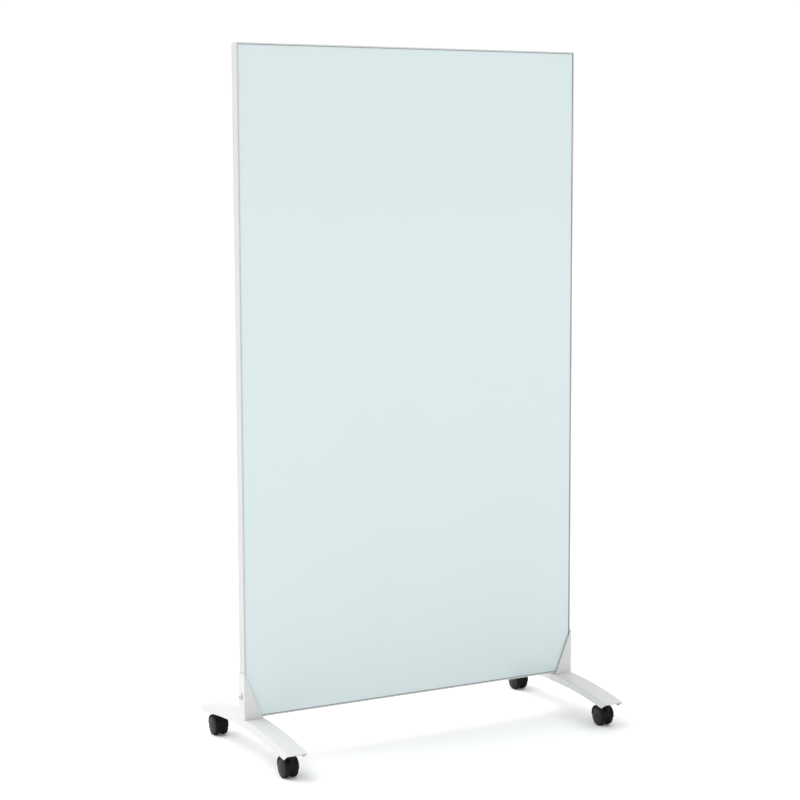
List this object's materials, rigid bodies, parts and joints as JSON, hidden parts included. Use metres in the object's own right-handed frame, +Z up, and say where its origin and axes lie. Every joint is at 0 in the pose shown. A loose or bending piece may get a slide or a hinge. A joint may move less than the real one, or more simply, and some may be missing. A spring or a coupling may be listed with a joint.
{
  "type": "rolling whiteboard",
  "caption": "Tall framed glass writing board, glazed on both faces, on arched channel feet with swivelling hooded twin-wheel casters.",
  "frame": {"origin": "on the floor, under the middle of the board", "axes": "+X along the board's width, front face towards -Y, +Z up"},
  "size_m": [1.0666, 0.572, 1.9065],
  "materials": {
    "back_painted_glass": "gloss",
    "white_powder_coat_aluminium": "satin",
    "white_powder_coat_steel": "satin",
    "bolt_steel": "satin nickel plated",
    "zinc_steel": "zinc plated",
    "galvanised_sheet": "matt",
    "bonding_tape": "matt",
    "seal_rubber": "matt",
    "core_board": "matt",
    "die_cast_key": "cast",
    "black_nylon": "satin",
    "black_wheel_nylon": "satin",
    "tread_rubber": "matt",
    "washer_nylon": "matt"
  },
  "bodies": {
    "root": {"bonding_tape_front": "bonding_tape", "bonding_tape_rear": "bonding_tape", "bracket_bolts": "bolt_steel", "bracket_left": "white_powder_coat_steel", "bracket_nut_bars": "zinc_steel", "bracket_right": "white_powder_coat_steel", "bracket_washers": "bolt_steel", "caster_plates": "white_powder_coat_steel", "caster_stems": "zinc_steel", "core_lattice": "core_board", "corner_key_screws": "zinc_steel", "corner_keys": "die_cast_key", "foot_left": "white_powder_coat_steel", "foot_nuts": "zinc_steel", "foot_right": "white_powder_coat_steel", "foot_studs": "zinc_steel", "foot_washers": "zinc_steel", "frame_rail_bottom": "white_powder_coat_aluminium", "frame_rail_top": "white_powder_coat_aluminium", "frame_stile_left": "white_powder_coat_aluminium", "frame_stile_right": "white_powder_coat_aluminium", "glass_front": "back_painted_glass", "glass_rear": "back_painted_glass", "glass_seal_front": "seal_rubber", "glass_seal_rear": "seal_rubber", "steel_sheet_front": "galvanised_sheet", "steel_sheet_rear": "galvanised_sheet", "stem_nuts": "zinc_steel", "thrust_washers": "washer_nylon"},
    "caster_front_left": {"hood_front_left": "black_nylon", "axle_front_left": "zinc_steel"},
    "wheel_front_left_inner": {"wheel_front_left_inner": "black_wheel_nylon", "tread_front_left_inner": "tread_rubber"},
    "wheel_front_left_outer": {"wheel_front_left_outer": "black_wheel_nylon", "tread_front_left_outer": "tread_rubber"},
    "caster_front_right": {"hood_front_right": "black_nylon", "axle_front_right": "zinc_steel"},
    "wheel_front_right_inner": {"wheel_front_right_inner": "black_wheel_nylon", "tread_front_right_inner": "tread_rubber"},
    "wheel_front_right_outer": {"wheel_front_right_outer": "black_wheel_nylon", "tread_front_right_outer": "tread_rubber"},
    "caster_rear_left": {"hood_rear_left": "black_nylon", "axle_rear_left": "zinc_steel"},
    "wheel_rear_left_inner": {"wheel_rear_left_inner": "black_wheel_nylon", "tread_rear_left_inner": "tread_rubber"},
    "wheel_rear_left_outer": {"wheel_rear_left_outer": "black_wheel_nylon", "tread_rear_left_outer": "tread_rubber"},
    "caster_rear_right": {"hood_rear_right": "black_nylon", "axle_rear_right": "zinc_steel"},
    "wheel_rear_right_inner": {"wheel_rear_right_inner": "black_wheel_nylon", "tread_rear_right_inner": "tread_rubber"},
    "wheel_rear_right_outer": {"wheel_rear_right_outer": "black_wheel_nylon", "tread_rear_right_outer": "tread_rubber"}
  },
  "joints": [
    {"name": "swivel_front_left", "type": "hinge", "parent": "root", "child": "caster_front_left", "pos_m": [-0.4975, -0.244, 0.05], "axis": [0, 0, 1], "continuous": true},
    {"name": "roll_front_left_inner", "type": "hinge", "parent": "caster_front_left", "child": "wheel_front_left_inner", "pos_m": [-0.4832, -0.226, 0.027], "axis": [1, 0, 0], "continuous": true},
    {"name": "roll_front_left_outer", "type": "hinge", "parent": "caster_front_left", "child": "wheel_front_left_outer", "pos_m": [-0.5118, -0.226, 0.027], "axis": [1, 0, 0], "continuous": true},
    {"name": "swivel_front_right", "type": "hinge", "parent": "root", "child": "caster_front_right", "pos_m": [0.4975, -0.244, 0.05], "axis": [0, 0, 1], "continuous": true},
    {"name": "roll_front_right_inner", "type": "hinge", "parent": "caster_front_right", "child": "wheel_front_right_inner", "pos_m": [0.4832, -0.226, 0.027], "axis": [1, 0, 0], "continuous": true},
    {"name": "roll_front_right_outer", "type": "hinge", "parent": "caster_front_right", "child": "wheel_front_right_outer", "pos_m": [0.5118, -0.226, 0.027], "axis": [1, 0, 0], "continuous": true},
    {"name": "swivel_rear_left", "type": "hinge", "parent": "root", "child": "caster_rear_left", "pos_m": [-0.4975, 0.244, 0.05], "axis": [0, 0, 1], "continuous": true},
    {"name": "roll_rear_left_inner", "type": "hinge", "parent": "caster_rear_left", "child": "wheel_rear_left_inner", "pos_m": [-0.4832, 0.226, 0.027], "axis": [1, 0, 0], "continuous": true},
    {"name": "roll_rear_left_outer", "type": "hinge", "parent": "caster_rear_left", "child": "wheel_rear_left_outer", "pos_m": [-0.5118, 0.226, 0.027], "axis": [1, 0, 0], "continuous": true},
    {"name": "swivel_rear_right", "type": "hinge", "parent": "root", "child": "caster_rear_right", "pos_m": [0.4975, 0.244, 0.05], "axis": [0, 0, 1], "continuous": true},
    {"name": "roll_rear_right_inner", "type": "hinge", "parent": "caster_rear_right", "child": "wheel_rear_right_inner", "pos_m": [0.4832, 0.226, 0.027], "axis": [1, 0, 0], "continuous": true},
    {"name": "roll_rear_right_outer", "type": "hinge", "parent": "caster_rear_right", "child": "wheel_rear_right_outer", "pos_m": [0.5118, 0.226, 0.027], "axis": [1, 0, 0], "continuous": true}
  ]
}
